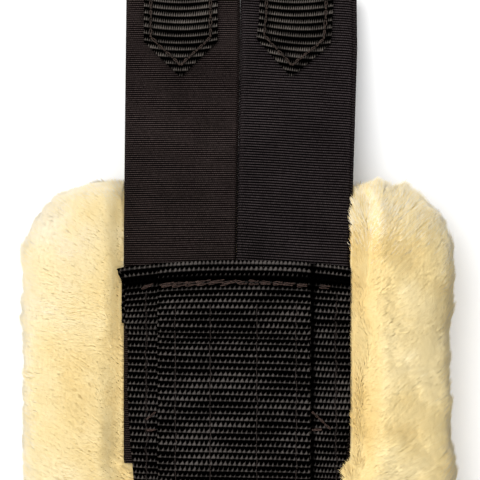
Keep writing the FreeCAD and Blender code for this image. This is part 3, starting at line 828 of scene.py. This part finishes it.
def scatter(points, normals, triangles, density, rng):
    """Roots spread over a surface. density gives the number per square metre at each triangle."""
    corner = points[triangles]
    area = np.linalg.norm(np.cross(corner[:, 1] - corner[:, 0], corner[:, 2] - corner[:, 0]), axis=1) / 2
    expected = area * density
    count = np.floor(expected + rng.random(len(area))).astype(int)
    chosen = np.repeat(np.arange(len(area)), count)
    u, v = rng.random((2, len(chosen), 1))
    u, v = np.where(u + v > 1, 1 - u, u), np.where(u + v > 1, 1 - v, v)
    w = 1 - u - v
    at = corner[chosen]
    way = normals[triangles[chosen]]
    roots = w * at[:, 0] + u * at[:, 1] + v * at[:, 2]
    return roots, unit(w * way[:, 0] + u * way[:, 1] + v * way[:, 2])


def strand_mesh(name, roots, bends, tips, ways, width, tone, materials):
    """Closed three-sided fibres, each bent once. They share the light of the surface they grow on, whose
    normals are ways, and tone picks each one's tint."""
    count = len(roots)
    side_way = unit(np.cross(tips - roots, bends - roots + 1e-9))
    rings = []
    light = []
    for centre, along, share in ((roots, bends - roots, 1.0), (bends, tips - roots, 0.85)):
        other = unit(np.cross(unit(along), side_way))
        for k in range(3):
            angle = 2 * math.pi * k / 3
            turned = math.cos(angle) * side_way + math.sin(angle) * other
            rings.append(centre + turned * (width * share / 2)[:, None])
            light.append(unit(SHARED_LIGHT * ways + (1 - SHARED_LIGHT) * turned))
    points = np.stack(rings + [tips], axis=1)
    light = np.stack(light + [unit(ways * 4 + unit(tips - bends))], axis=1)
    pattern = [(0, 1, 4), (0, 4, 3), (1, 2, 5), (1, 5, 4), (2, 0, 3), (2, 3, 5),
               (3, 4, 6), (4, 5, 6), (5, 3, 6), (2, 1, 0)]
    faces = (np.array(pattern)[None] + (np.arange(count) * 7)[:, None, None]).reshape(-1, 3)
    obj = mesh_object(name, points.reshape(-1, 3), faces, materials, np.repeat(tone, len(pattern)))
    obj.data.normals_split_custom_set_from_vertices(light.reshape(-1, 3))
    return obj


def nearest(points, seeds):
    tree = KDTree(len(seeds))
    for number, seed in enumerate(seeds):
        tree.insert(seed, number)
    tree.balance()
    return np.array([tree.find(point)[1] for point in points])


def growth(points, normals):
    """The way the pile grows: out of the pad's surface, but straight up along the straps."""
    upright = fade(beside_straps(points), 9 * MM, 22 * MM) * smooth_step(points[:, 2], 6 * MM, 14 * MM)
    upright *= fade(np.abs(points[:, 0]), PAD_X - 7 * MM, PAD_X - 1 * MM)
    return unit(normals * (1 - upright[:, None]) + upright[:, None] * np.array([0, 0, 1.0]))


def comb_of(roots, ways):
    """The way the pile is brushed: outwards and towards the near end, but over the straps' rear edge."""
    beside = beside_straps(roots) + 2.5 * MM * lattice_noise(roots, 7 * MM, 45)
    over_edge = fade(beside, 0, 6 * MM) * (roots[:, 1] < 0)
    outward = np.zeros_like(roots)
    outward[:, 0] = 0.8
    outward[:, 1] = np.sign(roots[:, 1]) * (1 - 1.8 * over_edge)
    outward -= ways * np.sum(outward * ways, axis=1, keepdims=True)
    swirl = np.stack([lattice_noise(roots, 24 * MM, 500 + k) for k in range(3)], axis=1)
    return unit(unit(outward) + 0.5 * swirl)


def lock_ends(surface, grows, size, length):
    """Roots and ends of locks about size across, over the triangles where the pile grows."""
    roots, ways = scatter(*surface, grows / size ** 2, np.random.default_rng(900))
    rng = np.random.default_rng(901)
    rear = rear_of(roots)
    jitter = rng.normal(size=roots.shape) * (0.08 + 0.10 * rear)[:, None]
    way = unit(ways + comb_of(roots, ways) * (LEAN + 0.5 * rear)[:, None] + jitter)
    uneven = 0.12 + (0.12 + 0.08 * rear) * rim_of(roots)
    own = length * (1.0 + uneven * rng.normal(size=len(roots)) + 0.15 * rear)
    return roots, roots + way * own[:, None]


def fibre_lengths(roots, rear, top_rim, length, rng):
    """Uneven all over, and tufted round the top rim, in deeper folds at the rear."""
    uneven = 1 + (0.14 + 0.14 * rear) * lattice_noise(roots, 7 * MM, 40)
    uneven += 0.20 * lattice_noise(roots, 3.5 * MM, 41)
    folds = 0.5 - 1.4 * np.abs(lattice_noise(roots, 8 * MM, 47)) + 0.2 * lattice_noise(roots, 4 * MM, 48)
    tufts = 0.25 * (1 - rear) * lattice_noise(roots, 3.2 * MM, 46) + rear * folds
    return length * (0.88 + 0.2 * rng.random(len(roots))) * uneven * (1 + tufts * top_rim)


def clear_straps(roots, bends, tips, rng):
    """Stop the rolls' fibres at the straps, or a little past their rear edge, and tuck those rooted in the
    channel under the cloth."""
    away = np.abs(tips[:, 0])
    edge = channel_half(tips[:, 0]) + 0.15 * MM
    corner = 1.5 * MM * bell(away - MOUTH_X + 2 * MM, 3.5 * MM)
    corner += 0.6 * MM * smooth_step(away, 185 * MM, 192 * MM)
    lap = LAP + 0.9 * MM * lattice_noise(along_only(tips[:, 0]), 6 * MM, 44)
    lap *= 0.4 + 0.6 * rng.random(len(roots))
    lap += 2.5 * MM * fade(away, 142 * MM, 156 * MM)
    edge = np.where(tips[:, 1] < 0, edge - lap, edge + corner)
    on_roll = beside_straps(roots) > -1.5 * MM
    for ends in (tips, bends):
        past = on_roll & (np.abs(ends[:, 1]) < edge)
        ends[:, 1] = np.where(past, np.sign(ends[:, 1]) * edge, ends[:, 1])
    tucked = ~on_roll & (np.abs(tips[:, 1]) < edge)
    tips[:, 2] = np.where(tucked, np.minimum(tips[:, 2], channel_floor(tips[:, 0]) - 0.6 * MM), tips[:, 2])


def fibre_tones(roots, rear, rng):
    """Each fibre's tint: cloudy at random, with painted shade deep beside the straps and on the rear roll,
    paler outwards and at the ends, and the rim tints, painted light and shade, scattered round the rim."""
    count = len(roots)
    beside = beside_straps(roots)
    away = np.abs(roots[:, 0])
    # Random cloudy patches, and painted shade on the rear roll, the side away from the lamp.
    shade = 1.3 * lattice_noise(roots, 18 * MM, 77) + 0.7 * lattice_noise(roots, 6 * MM, 78) - 0.5 * rear
    # Painted shade: deeper in the valley beside the straps, paler further out.
    shade += (1.6 - 1.2 * rear) * smooth_step(beside, 6 * MM, 24 * MM)
    shade -= 0.8 * fade(beside, 1 * MM, 9 * MM)
    end = smooth_step(away, PAD_X - 30 * MM, PAD_X - 8 * MM)
    shade += (1.7 - 0.7 * rear) * end
    tone = np.round(2.2 + shade + rng.uniform(-0.5, 0.5, count))
    tone = np.clip(tone, 0, len(WOOL_TINTS) - 1).astype(int)
    # Painted shade: the darker rim tint along the rear flank.
    shaded_flank = rng.random(count) < rear * fade(away, PAD_X - 40 * MM, PAD_X - 14 * MM)
    # The rim tints, painted light and shade, go round the pad's edge and over the rear roll's end.
    on_rim = np.maximum(0.85 * rim_of(roots), 0.5 * end * rear)
    return np.where(rng.random(count) < on_rim, len(WOOL_TINTS) + shaded_flank, tone)


def make_wool_strands(name, surface, grows, density, width, length, lock, seed, materials):
    """Fibres on the triangles that grow them, gathered into soft locks."""
    rng = np.random.default_rng(seed)
    points, _, triangles = surface
    bare = under_straps(points[triangles].mean(axis=1)) > 0.5
    roots, ways = scatter(*surface, density / MM ** 2 * (grows & ~bare), rng)
    lock_roots, lock_tips = lock_ends(surface, grows, lock, length)
    rear = rear_of(roots)
    top_rim = rim_of(roots) * smooth_step(roots[:, 2], 5 * MM, 13 * MM)

    own = fibre_lengths(roots, rear, top_rim, length, rng)
    lean = LEAN + 0.45 * rear
    way = unit(ways + comb_of(roots, ways) * lean[:, None] + 0.09 * rng.normal(size=roots.shape))
    gather = (0.06 + 0.09 * rear + (0.34 + 0.06 * rear) * top_rim) * (0.3 + 0.7 * rng.random(len(roots)))
    tips = roots + way * own[:, None]
    tips += (lock_tips[nearest(roots, lock_roots)] - tips) * gather[:, None]
    bends = roots + ways * (own * 0.45)[:, None] + (tips - roots) * 0.12
    tips[:, 2] = np.maximum(tips[:, 2], 0.3 * MM)
    bends[:, 2] = np.maximum(bends[:, 2], 0.4 * MM)
    clear_straps(roots, bends, tips, rng)

    tone = fibre_tones(roots, rear, rng)
    strand_width = width * (0.8 + 0.4 * rng.random(len(roots)))
    piece = strand_mesh(name, roots - ways * 0.4 * MM, bends, tips, ways, strand_width, tone, materials)
    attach(piece, "root")


def make_wool():
    points, normals, triangles = read_mesh(make_wool_body(wool_body_material()))
    surface = points, growth(points, normals), triangles
    materials = wool_strand_materials()
    x, y, z = points[triangles].mean(axis=1).T
    near = (x > NEAR_X) & (z > UNDER_Z)
    for number in range(NEAR_LAYERS):
        for side, grows, lock in (("front", near & (y > 0), 3.5 * MM), ("rear", near & (y < 0), 5 * MM)):
            make_wool_strands(f"wool_{side}_{number}", surface, grows, NEAR_DENSITY, 0.24 * MM, 4.9 * MM,
                              lock, 100 + number, materials)
    for number in range(ALONG_LAYERS):
        make_wool_strands(f"wool_along_{number}", surface, (x <= NEAR_X) & (z > UNDER_Z), ALONG_DENSITY,
                          0.5 * MM, 6.5 * MM, 3.5 * MM, 200 + number, materials)
    make_wool_strands("wool_under", surface, z <= UNDER_Z, UNDER_DENSITY, 0.8 * MM, 6 * MM, 4 * MM,
                      300, materials)


# ---- seams

def split_line(start, finish, length, shares):
    """Both ends of stitches of about length along a line, at two shares of each one's part of it."""
    start = np.array(start)
    way = np.array(finish) - start
    count = max(1, int(np.linalg.norm(way) / length))
    return [[start + way * (number + share) / count for share in shares] for number in range(count)]


def make_stitches(name, stitches, plies, radius, material, body, node):
    """Thread of several twisted plies in stitches, given as start, finish and the way up."""
    rng = np.random.default_rng(len(stitches))
    around, along = 6, 9
    angles = np.linspace(0, 2 * math.pi, around, endpoint=False)
    last = (along - 1) * around
    tube = [(ring + k, ring + (k + 1) % around, ring + around + (k + 1) % around, ring + around + k)
            for ring in range(0, last, around) for k in range(around)]
    tube += [(3, 2, 1, 0), (5, 4, 3, 0)]
    tube += [(last, last + 1, last + 2, last + 3), (last, last + 3, last + 4, last + 5)]
    points = []
    for start, finish, up in stitches:
        start, finish, up = (np.array(v, float) for v in (start, finish, up))
        side = unit(np.cross(up, unit(finish - start)))
        for ply in range(plies):
            phase = 2 * math.pi * ply / plies + rng.uniform(0, 1)
            loose = rng.uniform(1.2, 3.0)
            spread = 0.0 if plies == 1 else radius * 1.1 * loose
            for t in np.linspace(0, 1, along):
                arch = math.sin(math.pi * t) ** 0.5
                turn = phase + 3.5 * t
                lift = radius * (1.7 * arch - 1.3) + spread * 0.5 * math.sin(turn) * arch
                sway = side * spread * math.cos(turn) * (0.5 + 0.5 * arch)
                centre = start + (finish - start) * t + up * lift + sway
                points += [centre + (math.cos(a) * side + math.sin(a) * up) * radius for a in angles]
    firsts = np.arange(0, len(points), around * along)
    faces = (firsts[:, None, None] + np.array(tube)).reshape(-1, 4)
    piece = mesh_object(name, points, faces, [material])
    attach(piece, body)
    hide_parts(node)


UP = (0, 0, 1)
# The rows of stitches: on the overlay as shares of its width from the front, on the base webbing as Y.
OVERLAY_ROWS = (0.116, 0.344, 0.649, 0.907)
BASE_ROWS = (30.6 * MM, -32.4 * MM)
# The box seam that holds the elastics comes out between these X.
BOX_FIRST, BOX_LAST = 157.3 * MM, 163.3 * MM


def over(levels, x, y):
    """A point just above a webbing's top face."""
    return (x, y, webbing_top(levels, x) - seam_dent(x) + 0.05 * MM)


def make_cross_seam(end, sx, material):
    """Long overlapping stitches across the mouth, over the base webbing and the overlay."""
    rng = np.random.default_rng(41)
    stitches = []
    for y in np.arange(-30, 31, 3.9) * MM:
        on_overlay = OVERLAY_REAR < y and y + 4.4 * MM < OVERLAY_FRONT + 1 * MM
        beside = y + 3.6 * MM < OVERLAY_REAR - 1 * MM or y > OVERLAY_FRONT + 0.5 * MM
        if not on_overlay and not beside:
            continue
        levels = OVERLAY_LEVELS if on_overlay else BASE_LEVELS
        length = 4.8 * MM if on_overlay and y > -2 * MM else 3.3 * MM
        bow = 1.6 * MM * abs(y / (30 * MM)) ** 2
        slant = (0.9 if y > -2 * MM else -0.1) * MM + rng.normal() * 0.15 * MM
        for number in range(2):
            x = SEAM_X - bow + (number - 0.5) * 0.75 * MM + rng.normal() * 0.12 * MM
            begin = y + rng.normal() * 0.35 * MM
            stitches.append((over(levels, sx * (x + slant / 2), begin),
                             over(levels, sx * (x - slant / 2), begin + length), UP))
    make_stitches(f"{end}_cross_seam_thread", stitches, 2, 0.10 * MM, material, "root", f"{end}_cross_seam")


def make_anchor_seam(end, sx, material):
    """The ends of the box seam, where they come out beside the overlay."""
    rear, front = OVERLAY_REAR - 0.6 * MM, OVERLAY_FRONT + 0.6 * MM
    lines = [((BOX_LAST, front), (BOX_LAST - 3 * MM, front + 3.6 * MM)),
             ((BOX_FIRST, front), (BOX_FIRST, front + 3.6 * MM)),
             ((BOX_LAST, rear), (BOX_FIRST, rear - 6.4 * MM)),
             ((BOX_FIRST, rear), (BOX_FIRST, rear - 3.6 * MM))]
    stitches = []
    for start, finish in lines:
        for pair in split_line(start, finish, 2.4 * MM, (0, 0.92)):
            stitches.append((*(over(BASE_LEVELS, sx * x, y) for x, y in pair), UP))
    make_stitches(f"{end}_anchor_seam_thread", stitches, 3, 0.12 * MM, material, "root", f"{end}_anchor_seam")


def make_long_seams(material):
    """Straight rows of small stitches along the girth."""
    rng = np.random.default_rng(43)
    overlay_rows = [OVERLAY_FRONT - share * (OVERLAY_FRONT - OVERLAY_REAR) for share in OVERLAY_ROWS]
    reach = SEAM_X - 3 * MM
    for kind, rows, levels, pitch, length, spare, jog, plies, radius in (
            ("overlay", overlay_rows, OVERLAY_LEVELS, 4.24 * MM, 3.9 * MM, 4 * MM, 0.12 * MM, 1, 0.14 * MM),
            ("base", BASE_ROWS, BASE_LEVELS, 3.2 * MM, 3.0 * MM, 3 * MM, 0.25 * MM, 2, 0.1 * MM)):
        stitches = []
        for y in rows:
            for x in np.arange(-reach, reach - spare, pitch):
                start, finish = rng.normal(size=2) * jog
                stitches.append((over(levels, x, y + start), over(levels, x + length, y + finish), UP))
        make_stitches(f"{kind}_long_thread", stitches, plies, radius, material, "root", f"{kind}_long_seams")


def make_chape_seam(strap, sx, sy, material):
    """Stitches that follow the chape's point and sides."""
    half = CHAPE_WIDTH / 2 - STITCH_INSET
    tip = -CHAPE_LENGTH + STITCH_INSET * 1.45
    top = CHAPE_FLAT + CHAPE_THICK / 2 + 0.05 * MM
    up = sloped(np.array([0.0, 0, 1])) * np.array([sx, 1, 1])
    stitches = []
    for sign in (1, -1):
        corners = [(tip, 0, top), (tip + half * 0.96, sign * half, top), (-16 * MM, sign * half, top)]
        for start, finish in zip(corners, corners[1:]):
            for pair in split_line(start, finish, 3.0 * MM, (0.05, 0.95)):
                ends = (from_bar(leaned(point, point[0] + CHAPE_LENGTH, sx, sy), sx, sy) for point in pair)
                stitches.append((*ends, up))
    make_stitches(f"{strap}_chape_seam_thread", stitches, 2, 0.16 * MM, material, f"{strap}_strap_end",
                  f"{strap}_chape_seam")


# ---- stage

def make_stage():
    """A pale floor, an even white world and one soft lamp."""
    n = Nodes("floor")
    tone = n.noise(3, 2, 0.5)
    n.set(Base_Color=n.ramp(tone, [(0.3, (0.9, 0.9, 0.9)), (0.7, (0.93, 0.93, 0.93))]), Roughness=0.8)
    size = 6.0
    corners = [(-size, -size, 0), (size, -size, 0), (size, size, 0), (-size, size, 0)]
    mesh_object("floor", corners, [(0, 1, 2, 3)], [n.material])

    world = bpy.data.worlds.new("studio")
    world.use_nodes = True
    background = next(node for node in world.node_tree.nodes if node.type == "BACKGROUND")
    background.inputs["Color"].default_value = (1, 1, 1, 1)
    background.inputs["Strength"].default_value = 0.92
    bpy.context.scene.world = world

    light = bpy.data.lights.new("key", "AREA")
    light.shape = "DISK"
    light.size = 1.4
    light.energy = 21
    lamp = bpy.data.objects.new("key", light)
    lamp.location = (0.5, 0.55, 1.5)
    lamp.rotation_euler = (Vector((0.1, 0, 0.02)) - lamp.location).to_track_quat("-Z", "Y").to_euler()
    bpy.context.scene.collection.objects.link(lamp)


def make_camera():
    """Looks straight down on the near end, its top towards +X."""
    field = 160 * MM
    lens, sensor = 150, 36
    camera = bpy.data.cameras.new("camera")
    camera.lens = lens
    camera.sensor_width = sensor
    camera.clip_end = 20
    obj = bpy.data.objects.new("camera", camera)
    height = field * lens / sensor
    obj.location = (MOUTH_X + 7.3 * MM, -0.5 * MM, PLY_SEAM + height)
    obj.rotation_euler = (0, 0, -math.pi / 2)
    bpy.context.scene.collection.objects.link(obj)
    bpy.context.scene.camera = obj
    bpy.context.scene.view_settings.view_transform = "Standard"


# ---- everything

make_camera()
make_stage()
make_webbing_body()
WARM_RIB, COOL_RIB = 0.725 * MM, 0.875 * MM
warm = elastic_material("elastic_warm", WARM_RIB, (0.064, 0.047, 0.044))
cool = elastic_material("elastic_cool", COOL_RIB, (0.055, 0.044, 0.045))
coarse = webbing_material("webbing_25", CHAPE_RIB, CHAPE_GRAIN, (0.115, 0.100, 0.088), 0.2 * MM)
brown = thread_material("thread_brown", (0.080, 0.050, 0.041))
umber = thread_material("thread_umber", (0.06, 0.042, 0.034))
black = thread_material("thread_black", (0.026, 0.019, 0.017))
for strap, sx, sy in STRAPS:
    for layer in ("face", "backing"):
        make_elastic(strap, sx, sy, layer, *((warm, WARM_RIB) if sy > 0 else (cool, COOL_RIB)))
    make_chape(strap, sx, sy, coarse)
    make_chape_seam(strap, sx, sy, umber)
for end, sx in ENDS.items():
    make_cross_seam(end, sx, brown)
    make_anchor_seam(end, sx, brown)
make_long_seams(black)
make_wool()

steel = steel_material()
finishes = {"sheepskin_hide": hide_material(), "felt_core": felt_material()}
for node, obj in frame["nodes"].items():
    for slot in obj.material_slots:
        slot.material = finishes.get(node, steel)
